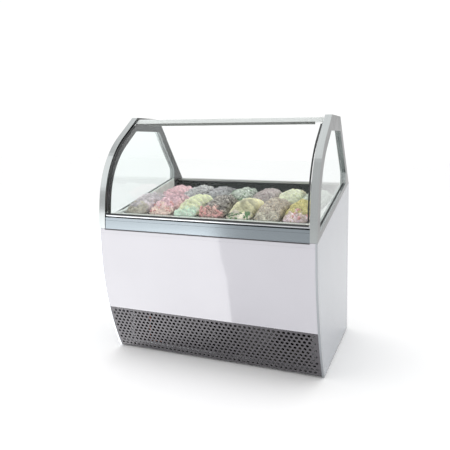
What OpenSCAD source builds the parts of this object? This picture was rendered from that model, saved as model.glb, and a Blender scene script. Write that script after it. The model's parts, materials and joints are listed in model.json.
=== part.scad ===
// Ice cream dipping cabinet with a curved glass canopy and two rows of lift-out pans.
// X runs along the counter, -Y is the customer's side, +Z is up.
// The origin is on the floor at the middle of the overall box.

/* [Cabinet] */
// Overall width over the side panels
cab_w = 1180; // [1120:10:1500]
// Overall depth, from the foremost point of the front to the back
cab_d = 970; // [960:10:1200]
// Overall height to the top of the canopy
cab_h = 1320; // [1250:10:1600]
// Gap between the floor and the lower edges of the panels
floor_gap = 6; // [4:1:20]

/* [Front curve] */
// Radius of the long lower sweep
sweep_r = 1480; // [1300:10:2000]
// Height of the foremost point of the sweep above the front of the belt line
nose_rise = 35; // [10:5:60]
// Radius of the tight sweep of the glass
hood_r = 450; // [380:5:480]
// Angle from the vertical where the tight sweep starts
hood_start = 5; // [3:1:8]
// Angle from the vertical of the straight run to the top
hood_end = 54; // [48:1:58]

/* [Belt line] */
// Height of the canopy above the front of the belt line
canopy_h = 605; // [560:5:650]
// Rise of the belt line from the front to the back
belt_rise = 210; // [190:5:250]

/* [Canopy] */
// Thickness of a canopy frame across the cabinet
frame_t = 36; // [30:1:42]
// Width of the curved front member
member_w = 60; // [50:1:70]
// Width of the inclined rear strut
strut_w = 50; // [40:1:60]
// Height of the frame's bottom rail
rail_h = 32; // [28:1:40]
// Height of the frame's solid top
crown_h = 82; // [70:1:100]
// Depth of the canopy's flat top
crown_d = 266; // [220:2:300]
// Distance from the back of the cabinet to the foot of the strut
strut_set = 10; // [5:1:30]
// Height of the upright foot under the strut
strut_foot = 40; // [20:5:60]
// Depth of the groove that holds the side glass
groove = 8; // [6:1:12]

/* [Glass] */
// Thickness of the curved front glass
glass_t = 6; // [4:0.5:8]
// Thickness of the side glass
side_glass_t = 5; // [4:0.5:8]
// Distance that the front glass lies inside the canopy's front edge
glass_set = 12; // [10:1:20]
// Distance between the top of the front glass and the top of the canopy
glass_drop = 14; // [10:1:30]
// Radius of the clamp that holds the lower edge of the glass
clamp_r = 10; // [9:0.5:12]
// Radius of the clamp's hinge pins
pin_r = 4; // [3:0.5:5]
// Height of the hinge axis above the front of the belt line
hinge_rise = 71; // [65:1:80]

/* [Top bar] */
// Height of the top bar
bar_h = 28; // [22:1:40]
// Depth of the top bar
bar_d = 110; // [80:5:140]
// Distance from the top of the canopy down to the top bar
bar_drop = 10; // [6:1:20]
// Wall of the top bar and of the rails
wall = 3; // [2:0.5:5]

/* [Front] */
// Width of the trim along the front edge of a side panel
trim_w = 10; // [8:1:14]
// Depth of that trim
trim_d = 12; // [10:1:20]
// Height of the lower edge of the grille
grille_z = 15; // [10:1:25]
// Height of the grille
grille_h = 247; // [200:1:300]
// Rows of holes in the grille
grille_rows = 12; // [6:1:14]
// Distance between the holes of a row
hole_pitch = 25.2; // [22:0.2:32]
// Diameter of a hole
hole_d = 15.6; // [8:0.2:16]
// Distance between the seam of the front panel and its top
seam_drop = 22; // [15:1:40]

/* [Pans] */
// Distance between neighbouring pans
pan_pitch = 150; // [140:1:152]
// Width of a pan over its rim
pan_w = 146; // [120:1:148]
// Length of a pan over its rim
pan_l = 356; // [330:1:360]
// Depth of a pan
pan_h = 120; // [80:5:150]
// Width of a pan's rim
pan_rim = 8; // [6:1:10]
// Distance between the two rows of rims
row_gap = 10; // [8:1:16]
// Slope of the pans towards the customer, in degrees
tilt = 5; // [2:0.5:7]
// Distance from the front of the cabinet to the front pans
well_set = 106.5; // [100:0.5:120]
// Height of the front pans' rims above the front of the belt line
well_rise = 70; // [60:1:72]
// Height of the crown of the ice cream above the rims
heap_h = 62; // [30:1:70]

/* [Tub] */
// Depth of the tub under the pans' rims
tub_h = 330; // [300:5:360]
// Wall of the foam at the front, the back and the floor
foam_t = 44; // [30:1:44]
// Sheet of the liner
liner_t = 1.5; // [1:0.5:2]
// Height of the pan supports
support_h = 8; // [6:1:12]
// Thickness of the white surround
surround_t = 4; // [2:0.5:5]

/* [Machine bay] */
// Sheet of the panels
sheet = 1.5; // [1:0.5:2]
// Sheet of the base tray
tray_t = 2; // [1.5:0.5:3]
// Height of the compressor's shell
comp_h = 180; // [140:5:200]
// Radius of the compressor's shell
comp_r = 85; // [60:5:95]
// Width of the condenser
cond_w = 420; // [300:10:460]
// Height of the condenser
cond_h = 210; // [160:5:220]
// Radius of the condenser fan
cond_fan_r = 98; // [70:1:98]
// Radius of the evaporator fan
evap_fan_r = 76; // [60:1:90]
// Radius of the refrigerant pipes
pipe_r = 4; // [3:0.5:6]

/* [Clearances] */
// Gap between pieces that are seated on each other
seat = 0.3; // [0.2:0.1:0.5]
// Gap of a piece that slides or swings past another
pass = 1.5; // [1:0.5:3]
// Radial clearance of a shaft in its bore
run_fit = 0.05; // [0.02:0.01:0.1]

/* [Hidden] */

eps = 0.01;
round_fn = 64;
pan_cols = 7;
curve_n = 36;
belt_front_z = cab_h - canopy_h;
belt_back_z = belt_front_z + belt_rise;
nose_z = belt_front_z + nose_rise;
front_y = -cab_d/2;
back_y = cab_d/2;
half_w = cab_w/2;
inner_x = half_w - frame_t;

// Front curve: a long arc, a tight arc and a straight run, all tangent.
sweep_y = front_y + sweep_r;
hood_y = sweep_y - (sweep_r - hood_r)*cos(hood_start);
hood_z = nose_z + (sweep_r - hood_r)*sin(hood_start);
function join_z(d) = nose_z + (sweep_r - d)*sin(hood_start);
function end_z(d) = hood_z + (hood_r - d)*sin(hood_end);
function end_y(d) = hood_y - (hood_r - d)*cos(hood_end);
function leg(r, h) = sqrt(r*r - h*h);
function fy(z, d) =
  z <= join_z(d) ? sweep_y - leg(sweep_r - d, z - nose_z)
  : z <= end_z(d) ? hood_y - leg(hood_r - d, z - hood_z)
  : end_y(d) + (z - end_z(d))*tan(hood_end);
function run(z0, z1, d, n = curve_n) =
  [for (i = [0:n]) let(z = z0 + (z1 - z0)*i/n) [fy(z, d), z]];
// A closed band between two depths inside the front curve.
function band(z0, z1, d0, d1, n = curve_n) =
  concat(run(z0, z1, d0, n), run(z1, z0, d1, n));

// Belt line: top of the side panels and bottom of the canopy frames.
function belt_z(y) = belt_front_z + belt_rise*(y - front_y)/cab_d;

// Rear strut of the canopy frame.
crown_y = fy(cab_h, 0) + crown_d;
foot_y = back_y - strut_set;
foot_z = belt_z(foot_y);
strut_lean = atan2(foot_y - crown_y, cab_h - foot_z);
function strut_y(z, w) =
  crown_y + (cab_h - z)*tan(strut_lean) - w/cos(strut_lean);
crown_z = cab_h - crown_h;
sill_front_z = belt_z(front_y + member_w) + rail_h;
strut_foot_z = foot_z + rail_h + strut_foot;
// Window of the frame, grown by g on every side.
function window_pts(g) = let(
    foot = strut_y(strut_foot_z, strut_w - g),
    sill = belt_z(foot) + rail_h - g
  ) concat(
    run(sill_front_z - g, crown_z + g, member_w - g),
    [[strut_y(crown_z + g, strut_w - g), crown_z + g],
     [foot, strut_foot_z], [foot, sill]]);

// Front glass and its hinge.
hinge_z = belt_front_z + hinge_rise;
hinge_y = fy(hinge_z, glass_set + glass_t/2);
glass_top_z = cab_h - glass_drop;
glass_x = inner_x - pass;
bar_z1 = cab_h - bar_drop;
bar_z0 = bar_z1 - bar_h;
bar_set = glass_set + glass_t + seat;
bar_back_y = fy(bar_z1, bar_set) + bar_d;
pin_l = 14;
clamp_end = 4;

// Deck of the pans: origin at the middle of the front rims, sloping up to the back.
well_y = front_y + well_set;
well_z = belt_front_z + well_rise;
field_x = pan_cols*pan_pitch/2;
field_s = 2*pan_l + row_gap;
function deck_y(s, h) = well_y + s*cos(tilt) - h*sin(tilt);
function deck_z(s, h) = well_z + s*sin(tilt) + h*cos(tilt);
function deck_s(y, h) = (y - well_y + h*sin(tilt))/cos(tilt);
liner_x = field_x + 1;
liner_s0 = -4;
liner_s1 = field_s + 4;
foam_x = inner_x - 2;
foam_s0 = liner_s0 - liner_t - seat - foam_t;
foam_s1 = liner_s1 + liner_t + seat + foam_t;
foam_top = -support_h - liner_t - 2*seat;
foam_bottom = -tub_h - liner_t - seat - foam_t;
shoulder_h = -110;
shoulder_x = half_w - trim_w - 8;
surround_s0 = deck_s(hinge_y + clamp_r + pass, 0);
surround_s1 = field_s + 26;
surround_x = inner_x - seat;

// Front rail.
rail_z0 = belt_front_z - 1;
rail_z1 = hinge_z - clamp_r - pass;
rail_set = 3;
rail_back_y = deck_y(foam_s0, foam_top) - 3;

// Rear rail and worktop.
top_z = belt_back_z;
panel_set = 4;
rear_y0 = deck_y(surround_s1, 0) + 1;
rear_y1 = rear_y0 + 42;
worktop_t = 11.5;
rear_z1 = top_z - worktop_t - seat;

// Base.
tray_z = floor_gap + 8;
bay_z = tray_z + tray_t;
tray_x = half_w - trim_w - 1;
tray_y0 = fy(bay_z, 0) + 24;
tray_y1 = back_y - panel_set - sheet - seat;
post = 25;
foot_inset = 90;
post_y = [tray_y0 + 20, min(tray_y1 - 60, deck_y(foam_s1, foam_bottom) - 2*post)];

// Condenser group.
cond_x = -120;
cond_y = tray_y0 + 26;
cond_d = 55;
cond_stub = 7;
cond_z = bay_z + seat;
fan_z = cond_z + cond_h/2;
shroud_y = cond_y + cond_d + seat;
shroud_d = 22;
motor_y = shroud_y + 26;
motor_l = 46;
motor_r = 30;
shaft_r = 4;

// Compressor: shell on a plate with four rubber feet.
comp_x = 330;
comp_y = 150;
comp_plate = 200;
comp_foot = 14;
comp_dome = comp_r*1.25;

// Evaporator, in the deck's own frame.
evap_w = 760;
evap_l = 170;
evap_h = 70;
evap_s = 60;
evap_floor = -tub_h + seat;
evap_fan_s = (evap_s + evap_l + liner_s1)/2;
evap_fan_h = evap_floor + 62;
evap_motor_l = 34;
evap_shaft_r = 3;
evap_stub = 8;

evap_tubes = [3, 4];
function evap_tube_s(col) = evap_s + evap_l*(col + 0.5)/evap_tubes.y;
function evap_tube_h(row) = evap_floor + evap_h*(row + 0.5)/evap_tubes.x;

// Hole in the floor of the tub, where the pipes rise to the evaporator.
tube_hole_r = 15;
tube_hole_x = -evap_w/2 - 40;
pipe_y = deck_y(evap_tube_s(0), evap_tube_h(1));
tube_hole_s = deck_s(pipe_y, foam_bottom + foam_t/2);

// Controls in the back panel.
ctrl_x = 380;
ctrl_z = 868;
inlet_x = 470;
inlet_z = 130;
panel_y = back_y - panel_set;

// A closed 2D shape in (y, z), extruded along X from x0 over a length.
module along_x(x0, length) {
  translate([x0, 0, 0]) rotate([90, 0, 90]) linear_extrude(length) children();
}
module span_x(half) {
  along_x(-half, 2*half) children();
}
// A cylinder along X or along Y, centred on its place.
module rod_x(r, length) {
  rotate([0, 90, 0]) cylinder(r = r, h = length, center = true, $fn = round_fn);
}
module rod_y(r, length) {
  rotate([90, 0, 0]) cylinder(r = r, h = length, center = true, $fn = round_fn);
}
module box(x0, x1, y0, y1, z0, z1) {
  translate([x0, y0, z0]) cube([x1 - x0, y1 - y0, z1 - z0]);
}
module on_deck() {
  translate([0, well_y, well_z]) rotate([tilt, 0, 0]) children();
}
// A rectangle with round corners.
module round_rect(w, l, r) {
  square([w - 2*r, l], center = true);
  square([w, l - 2*r], center = true);
  for (x = [-1, 1], y = [-1, 1])
    translate([x*(w/2 - r), y*(l/2 - r)]) circle(r = r, $fn = 32);
}
// Blades and hub of an axial fan, turning about Z, with a bore for its shaft.
module rotor(r, hub_r, depth, bore_r, blades) {
  difference() {
    union() {
      cylinder(r = hub_r, h = depth, center = true, $fn = round_fn);
      intersection() {
        cylinder(r = r, h = depth, center = true, $fn = round_fn);
        for (i = [0:blades - 1])
          rotate([0, 0, 360*i/blades]) translate([r/2, 0, 0]) rotate([32, 0, 0])
            cube([r + 4, r*0.62, 2], center = true);
      }
    }
    cylinder(r = bore_r, h = depth + 2, center = true, $fn = round_fn);
  }
}
// A pipe swept along points, with a round bend at each corner.
bend_r = 12;
pipe_sides = 10;
function unit(v) = v/norm(v);
function bends(pts, r) = let(last = len(pts) - 1) concat([pts[0]],
  [for (i = [1:last - 1])
    let(u = unit(pts[i] - pts[i - 1]), v = unit(pts[i + 1] - pts[i]))
      for (t = [0:22.5:90]) pts[i] - u*r + v*r + r*(u*sin(t) - v*cos(t))],
  [pts[last]]);
function tangents(p) = let(last = len(p) - 1)
  [for (i = [0:last]) unit(p[min(i + 1, last)] - p[max(i - 1, 0)])];
// Normals that turn as little as they can from one ring to the next.
function normals(t) =
  [for (i = 0, n = unit(cross(t[0], [1, 2, 3])); i < len(t);
        i = i + 1, n = i < len(t) ? unit(n - (n*t[i])*t[i]) : n) n];
module pipe(pts, r) {
  path = bends(pts, bend_r);
  t = tangents(path);
  n = normals(t);
  m = pipe_sides;
  rings = len(path);
  points = [for (i = [0:rings - 1], k = [0:m - 1])
    let(a = 360*k/m) path[i] + r*(n[i]*cos(a) + cross(t[i], n[i])*sin(a))];
  sides = [for (i = [0:rings - 2], k = [0:m - 1])
    let(a = i*m + k, b = i*m + (k + 1) % m) each [[a, a + m, b + m], [a, b + m, b]]];
  polyhedron(points, concat(sides, [[for (k = [0:m - 1]) k],
    [for (k = [m - 1:-1:0]) (rings - 1)*m + k]]));
}

// Folded side panel: a skin with a return all round, open towards the cabinet.
panel_front_d = trim_d + seat;
function panel_pts(g) = concat(
  run(floor_gap + g, belt_z(front_y + panel_front_d + g) - seat - g, panel_front_d + g),
  [[back_y - g, belt_z(back_y - g) - seat - g], [back_y - g, floor_gap + g]]);
module side_panel() {
  color("#d3d7da") difference() {
    along_x(half_w - trim_w, trim_w) polygon(panel_pts(0));
    along_x(half_w - trim_w - 1, trim_w + 1 - sheet) polygon(panel_pts(sheet*2));
  }
}
module side_panel_right() { side_panel(); }
module side_panel_left() { mirror([1, 0, 0]) side_panel(); }

module edge_trims() {
  color("#a9aeb0") for (side = [0, 1]) mirror([side, 0, 0])
    along_x(half_w - trim_w, trim_w)
      polygon(band(floor_gap - 2, belt_front_z - seat, 0, trim_d));
}

// Front panel: a curved skin with top and bottom returns and a seam line.
front_z0 = grille_z + grille_h + 2;
front_z1 = rail_z0 - seat;
front_x = half_w - trim_w - seat;
front_return = 16;
module front_panel() {
  color("#e9e6ec") span_x(front_x) difference() {
    polygon(band(front_z0, front_z1, 1, front_return));
    polygon(band(front_z0 + sheet, front_z1 - sheet, 1 + sheet*2, front_return + 1));
    polygon(band(front_z1 - seam_drop - 1, front_z1 - seam_drop + 1, 0, 2, 2));
  }
}

// Pull-off grille: one flat strip for each row of holes, with two returns.
grille_z1 = grille_z + grille_h;
grille_skin = 2;
grille_cols = floor((2*front_x - hole_pitch)/hole_pitch);
row_pitch = grille_h/(grille_rows + 0.6);
module front_grille() {
  first_z = grille_z + grille_h/2 - row_pitch*grille_rows/2;
  color("#8d8c8f") difference() {
    span_x(front_x) {
      polygon(band(first_z, first_z + row_pitch*grille_rows, 1, 1 + grille_skin,
                   grille_rows));
      polygon(band(grille_z, first_z + eps, 1, front_return, 1));
      polygon(band(grille_z1 - (first_z - grille_z) - eps, grille_z1, 1,
                   front_return, 1));
    }
    for (r = [0:grille_rows - 1]) {
      z = first_z + row_pitch*(r + 0.5);
      shift = (r % 2)*hole_pitch/2 - hole_pitch/4;
      lean = asin((nose_z - z)/sweep_r);
      for (c = [0:grille_cols - 1])
        translate([(c - (grille_cols - 1)/2)*hole_pitch + shift, fy(z, 1), z])
          rotate([90 + lean, 0, 0])
            cylinder(d = hole_d, h = 10, center = true, $fn = round_fn);
    }
  }
}

// Canopy frame: curved front member, crown, inclined strut and sloping rail.
module canopy_frame() {
  outer = concat(run(belt_front_z, cab_h, 0),
                 [[crown_y, cab_h], [foot_y, foot_z]]);
  color("#9ea3a3") difference() {
    along_x(inner_x, frame_t) polygon(outer);
    along_x(inner_x - 1, frame_t + 2) polygon(window_pts(0));
    along_x(half_w - frame_t/2 - side_glass_t/2 - seat, side_glass_t + 2*seat)
      polygon(window_pts(groove + seat));
    translate([inner_x + pin_l/2 - 1, hinge_y, hinge_z])
      rod_x(pin_r + run_fit, pin_l + 4);
  }
}
module canopy_frame_right() { canopy_frame(); }
module canopy_frame_left() { mirror([1, 0, 0]) canopy_frame(); }

module side_glass() {
  color("#dfeceb") for (side = [0, 1]) mirror([side, 0, 0])
    along_x(half_w - frame_t/2 - side_glass_t/2, side_glass_t)
      polygon(window_pts(groove));
}

// Top bar: a hollow extrusion whose front follows the glass.
module top_bar() {
  color("#dcdfe0") span_x(inner_x - seat) difference() {
    polygon(concat(run(bar_z0, bar_z1, bar_set, 6),
                   [[bar_back_y - 6, bar_z1], [bar_back_y, bar_z1 - 6],
                    [bar_back_y, bar_z0]]));
    polygon(concat(run(bar_z0 + wall, bar_z1 - wall, bar_set + wall, 6),
                   [[bar_back_y - wall - 5, bar_z1 - wall],
                    [bar_back_y - wall, bar_z1 - wall - 5],
                    [bar_back_y - wall, bar_z0 + wall]]));
  }
}

lamp_h = 12;
module lamp() {
  y = fy(bar_z0, bar_set) + bar_d/2;
  color("#f4f4ee")
    box(-inner_x + 60, inner_x - 60, y - 14, y + 14,
        bar_z0 - seat - lamp_h, bar_z0 - seat);
}

module front_glass() {
  color("#dfeceb") span_x(glass_x - clamp_end - seat)
    polygon(band(hinge_z - 4, glass_top_z, glass_set, glass_set + glass_t, 60));
}

// Clamp along the lower edge of the glass, with a hinge pin at each end.
module glass_clamp() {
  color("#8b8f90") {
    difference() {
      translate([0, hinge_y, hinge_z]) rod_x(clamp_r, 2*glass_x);
      span_x(glass_x - clamp_end)
        polygon(band(hinge_z - 4 - seat, hinge_z + clamp_r + 4, glass_set - seat,
                     glass_set + glass_t + seat, 4));
    }
    for (side = [-1, 1])
      translate([side*(glass_x + pin_l/2 - 1), hinge_y, hinge_z])
        rod_x(pin_r, pin_l + 2);
  }
}

// Bumper rail under the glass: a hollow extrusion with a groove along its face.
module front_rail() {
  groove_z = rail_z1 - 16;
  color("#a4a9ab") span_x(inner_x - seat) difference() {
    polygon(concat(run(rail_z0, rail_z1, rail_set, 12),
                   [[rail_back_y, rail_z1], [rail_back_y, rail_z0]]));
    polygon(concat(run(rail_z0 + wall, rail_z1 - wall, rail_set + wall*2, 12),
                   [[rail_back_y - wall, rail_z1 - wall],
                    [rail_back_y - wall, rail_z0 + wall]]));
    polygon(band(groove_z, groove_z + 4, 0, rail_set + 2.5, 2));
  }
}

// White surround of the well, with a window for the pans.
module surround_window() {
  translate([0, field_s/2]) square([2*field_x + 3, field_s + 5], center = true);
}
module well_surround() {
  color("#eef0ee") on_deck() translate([0, 0, seat]) linear_extrude(surround_t)
    difference() {
      translate([0, (surround_s0 + surround_s1)/2])
        square([2*surround_x, surround_s1 - surround_s0], center = true);
      surround_window();
    }
}

// Grid that the pans' rims hang on.
module pan_supports() {
  slot_x = field_x - (pan_pitch - pan_w)/2 - pan_rim + 2;
  rest = 20;
  color("#b9bcbe") on_deck() translate([0, 0, -support_h])
    linear_extrude(support_h) difference() {
      translate([0, field_s/2])
        square([2*(liner_x + 14), field_s + 2*rest], center = true);
      for (row = [0, 1])
        translate([-slot_x, row*(pan_l + row_gap) + pan_rim - 1])
          square([2*slot_x, pan_l - 2*pan_rim + 2]);
    }
}

// Liner: a sheet box with a flange that lies on the foam.
module tub_liner() {
  flange = 14;
  mid_s = (liner_s0 + liner_s1)/2;
  len_s = liner_s1 - liner_s0;
  color("#c8cbcc") on_deck() difference() {
    union() {
      translate([-liner_x - liner_t, liner_s0 - liner_t, -tub_h - liner_t])
        cube([2*(liner_x + liner_t), len_s + 2*liner_t,
              tub_h - support_h - seat + liner_t]);
      translate([-liner_x - flange, liner_s0 - flange,
                 -support_h - seat - liner_t])
        cube([2*(liner_x + flange), len_s + 2*flange, liner_t]);
    }
    translate([-liner_x, liner_s0, -tub_h])
      cube([2*liner_x, len_s, tub_h + 1]);
    translate([tube_hole_x, tube_hole_s, -tub_h])
      cylinder(r = tube_hole_r, h = 20, center = true, $fn = round_fn);
  }
}

// Foam tub: thin beside the canopy frames, thicker below the belt line.
module insulated_tub() {
  len_s = foam_s1 - foam_s0;
  gap = liner_t + seat;
  color("#e5dfc8") on_deck() difference() {
    union() {
      translate([-foam_x, foam_s0, shoulder_h - eps])
        cube([2*foam_x, len_s, foam_top - shoulder_h + eps]);
      translate([-shoulder_x, foam_s0, foam_bottom])
        cube([2*shoulder_x, len_s, shoulder_h - foam_bottom]);
    }
    translate([-liner_x - gap, liner_s0 - gap, -tub_h - gap])
      cube([2*(liner_x + gap), liner_s1 - liner_s0 + 2*gap, tub_h + gap + 1]);
    translate([tube_hole_x, tube_hole_s, foam_bottom])
      cylinder(r = tube_hole_r, h = 2*foam_t + 20, center = true, $fn = round_fn);
  }
}

// Evaporator: finned coil and fan cowl on one drip plate.
module evaporator() {
  fins = 20;
  tube_r = 5;
  plate = 2;
  fin_t = 1.5;
  color("#b7bcc0") on_deck() {
    translate([-evap_w/2, evap_s, evap_floor])
      cube([evap_w, evap_fan_s + evap_fan_r + 30 - evap_s, plate]);
    for (i = [0:fins])
      translate([-evap_w/2 + i*(evap_w - fin_t)/fins, evap_s, evap_floor + plate - eps])
        cube([fin_t, evap_l, evap_h]);
    for (row = [0:evap_tubes.x - 1], col = [0:evap_tubes.y - 1])
      translate([0, evap_tube_s(col), evap_tube_h(row)])
        rod_x(tube_r, evap_w + 2*evap_stub);
    translate([0, evap_fan_s, 0]) {
      cowl = 2*evap_fan_r + 40;
      translate([0, 0, evap_fan_h - 3]) difference() {
        linear_extrude(plate) square(cowl, center = true);
        cylinder(r = evap_fan_r + 4, h = 10, center = true, $fn = round_fn);
      }
      for (x = [-1, 1], y = [-1, 1])
        translate([x*(cowl/2 - 5), y*(cowl/2 - 5), evap_floor])
          cylinder(r = 4, h = evap_fan_h - evap_floor - 2, $fn = round_fn);
      translate([0, 0, evap_floor]) {
        cylinder(r = 20, h = evap_motor_l, $fn = round_fn);
        cylinder(r = evap_shaft_r, h = evap_fan_h - evap_floor + 12, $fn = round_fn);
      }
    }
  }
}

module evaporator_fan() {
  color("#3a3c3e") on_deck() translate([0, evap_fan_s, evap_fan_h])
    rotor(evap_fan_r, 22, 24, evap_shaft_r + run_fit, 5);
}

// Rear rail: a sloping inner face that stands on the back wall of the tub.
module rear_rail() {
  t = 10;
  stand_z = deck_z(deck_s(rear_y0 + t, foam_top), foam_top) + seat;
  lip_z = deck_z(surround_s1, 0);
  color("#6a6d6e") span_x(inner_x - seat)
    polygon([[rear_y0, stand_z], [rear_y0, lip_z], [rear_y1, rear_z1],
             [rear_y1 + t + 16, rear_z1], [rear_y1 + t + 16, rear_z1 - t],
             [rear_y1 + t - 2, rear_z1 - t], [rear_y0 + t, lip_z - 6],
             [rear_y0 + t, stand_z]]);
}

module rear_worktop() {
  y0 = rear_y1 - 4;
  color("#d9dcdc") span_x(inner_x - seat) difference() {
    polygon([[y0, top_z - worktop_t], [y0, top_z], [back_y, top_z],
             [back_y, top_z - worktop_t]]);
    polygon([[y0 + 36, top_z - worktop_t - 1], [y0 + 36, top_z - wall],
             [back_y - wall, top_z - wall], [back_y - wall, top_z - worktop_t - 1]]);
  }
}

// Back panel with exhaust louvres and cut-outs for the controls.
ctrl_w = 71;
ctrl_h = 29;
inlet_w = 48;
inlet_h = 58;
module back_panel() {
  slots = 12;
  top = top_z - worktop_t - seat;
  color("#cfd3d6") difference() {
    box(-half_w + trim_w + seat, half_w - trim_w - seat, panel_y - sheet, panel_y,
        tray_z, top);
    for (i = [0:slots - 1], x = [-300, 0, 300])
      box(x - 120, x + 120, panel_y - 5, panel_y + 5, 80 + i*22, 88 + i*22);
    box(ctrl_x - ctrl_w/2 - seat, ctrl_x + ctrl_w/2 + seat, panel_y - 5, panel_y + 5,
        ctrl_z - ctrl_h/2 - seat, ctrl_z + ctrl_h/2 + seat);
    box(inlet_x - inlet_w/2 - seat, inlet_x + inlet_w/2 + seat, panel_y - 5,
        panel_y + 5, inlet_z - inlet_h/2 - seat, inlet_z + inlet_h/2 + seat);
  }
}

// Base: a folded tray and four posts that carry the tub.
module base_tray() {
  post_x = shoulder_x - 30;
  color("#9a9da0") difference() {
    union() {
      difference() {
        box(-tray_x, tray_x, tray_y0, tray_y1, tray_z, tray_z + 30);
        box(-tray_x + tray_t, tray_x - tray_t, tray_y0 + tray_t, tray_y1 - tray_t,
            bay_z, tray_z + 31);
      }
      for (x = [-post_x, post_x - post], y = post_y)
        box(x, x + post, y, y + post, bay_z - eps, belt_front_z);
    }
    on_deck() translate([-cab_w, -cab_d, foam_bottom - seat])
      cube([2*cab_w, 3*cab_d, cab_h]);
    for (x = [-1, 1], y = [tray_y0 + 70, tray_y1 - 90])
      translate([x*(tray_x - foot_inset), y, tray_z])
        cylinder(r = 5 + run_fit, h = 10, center = true, $fn = round_fn);
  }
}

module levelling_feet() {
  color("#2c2d2e")
    for (x = [-1, 1], y = [tray_y0 + 70, tray_y1 - 90])
      translate([x*(tray_x - foot_inset), y, 0]) {
        cylinder(r = 24, h = 5, $fn = round_fn);
        cylinder(r = 11, h = tray_z - seat, $fn = round_fn);
        cylinder(r = 5, h = tray_z + 22, $fn = round_fn);
      }
}

module compressor() {
  plate = 3;
  base = bay_z + seat;
  color("#1f2021") translate([comp_x, comp_y, base]) {
    for (x = [-1, 1], y = [-1, 1])
      translate([x*(comp_plate/2 - 15), y*(comp_plate/2 - 35), 0])
        cylinder(r = 12, h = comp_foot, $fn = round_fn);
    translate([-comp_plate/2, -comp_plate/2 + 20, comp_foot - eps])
      cube([comp_plate, comp_plate - 40, plate]);
    translate([0, 0, comp_foot]) rotate_extrude($fn = round_fn) intersection() {
      square([comp_r, comp_h]);
      union() {
        square([comp_r, comp_h - comp_r*0.6]);
        translate([0, comp_h - comp_dome]) circle(r = comp_dome, $fn = round_fn);
      }
    }
  }
}

// Condenser: fins on straight tubes between two end plates.
module condenser_coil() {
  fins = 24;
  fin_t = 1.5;
  color("#8f7a62") translate([cond_x, cond_y, cond_z]) {
    for (i = [0:fins])
      translate([-cond_w/2 + i*(cond_w - fin_t)/fins, 0, 0])
        cube([fin_t, cond_d, cond_h]);
    for (row = [0:5], col = [0, 1])
      translate([0, cond_d*(col + 0.5)/2, cond_h*(row + 0.5)/6])
        rod_x(4.5, cond_w + 2*cond_stub);
  }
}

// Shroud behind the condenser, with the motor on a cross bar.
module fan_shroud() {
  ring_r = cond_fan_r + 4;
  bar_y = motor_y + motor_l - 8;
  color("#5d6062") translate([cond_x, 0, 0]) difference() {
    union() {
      difference() {
        box(-cond_w/2, cond_w/2, shroud_y, shroud_y + shroud_d, cond_z,
            cond_z + cond_h);
        box(-cond_w/2 + 2, cond_w/2 - 2, shroud_y - 1, shroud_y + shroud_d - 2,
            cond_z + 2, cond_z + cond_h - 2);
        translate([0, shroud_y + shroud_d, fan_z]) rod_y(ring_r, 10);
      }
      for (x = [-1, 1])
        translate([x*(ring_r + 12), (shroud_y + shroud_d + bar_y + 4)/2 - 1, fan_z])
          rod_y(5, bar_y + 4 - shroud_y - shroud_d + 2);
      box(-ring_r - 20, ring_r + 20, bar_y, bar_y + 5, fan_z - 9, fan_z + 9);
      translate([0, motor_y + motor_l/2, fan_z]) rod_y(motor_r, motor_l);
      translate([0, motor_y - 11, fan_z]) rod_y(shaft_r, 24);
    }
  }
}

module condenser_fan() {
  color("#2f3133") translate([cond_x, shroud_y + shroud_d/2 - 1, fan_z])
    rotate([90, 0, 0]) rotor(cond_fan_r, 26, 14, shaft_r + run_fit, 5);
}

// Copper pipes: compressor to evaporator, compressor to condenser, and between the coils.
module refrigerant_pipes() {
  stub = 30;
  comp_top = bay_z + seat + comp_foot + comp_h;
  start_z = comp_top - comp_dome + leg(comp_dome, stub - pipe_r) + seat;
  run_z = comp_top + 24;
  evap_x = -evap_w/2 - evap_stub - seat;
  suction_x = tube_hole_x + 6;
  liquid_x = tube_hole_x - 6;
  coil_x = cond_x - cond_w/2 - cond_stub - seat;
  coil_y = cond_y + cond_d/4;
  drop_x = coil_x - 30;
  low_z = cond_z + cond_h*0.5/6;
  high_z = cond_z + cond_h*5.5/6;
  suction_z = deck_z(evap_tube_s(0), evap_tube_h(1));
  liquid_z = deck_z(evap_tube_s(0), evap_tube_h(2));
  color("#b9724a") {
    pipe([[comp_x - stub, comp_y, start_z], [comp_x - stub, comp_y, run_z],
          [suction_x, comp_y, run_z], [suction_x, pipe_y, run_z],
          [suction_x, pipe_y, suction_z], [evap_x, pipe_y, suction_z]], pipe_r);
    pipe([[comp_x + stub, comp_y, start_z], [comp_x + stub, comp_y, run_z + 16],
          [drop_x, comp_y, run_z + 16], [drop_x, coil_y, run_z + 16],
          [drop_x, coil_y, high_z], [coil_x, coil_y, high_z]], pipe_r);
    pipe([[coil_x, coil_y, low_z], [liquid_x, coil_y, low_z],
          [liquid_x, coil_y, high_z], [liquid_x, pipe_y, high_z],
          [liquid_x, pipe_y, liquid_z], [evap_x, pipe_y, liquid_z]], pipe_r*0.75);
  }
}

// Digital thermostat with sealed keys, in the back panel under the worktop.
module controller() {
  color("#26282a") {
    box(ctrl_x - ctrl_w/2, ctrl_x + ctrl_w/2, panel_y - 36, panel_y + seat + eps,
        ctrl_z - ctrl_h/2, ctrl_z + ctrl_h/2);
    box(ctrl_x - ctrl_w/2 - 4, ctrl_x + ctrl_w/2 + 4, panel_y + seat, panel_y + 4,
        ctrl_z - ctrl_h/2 - 4, ctrl_z + ctrl_h/2 + 4);
  }
}

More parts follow.
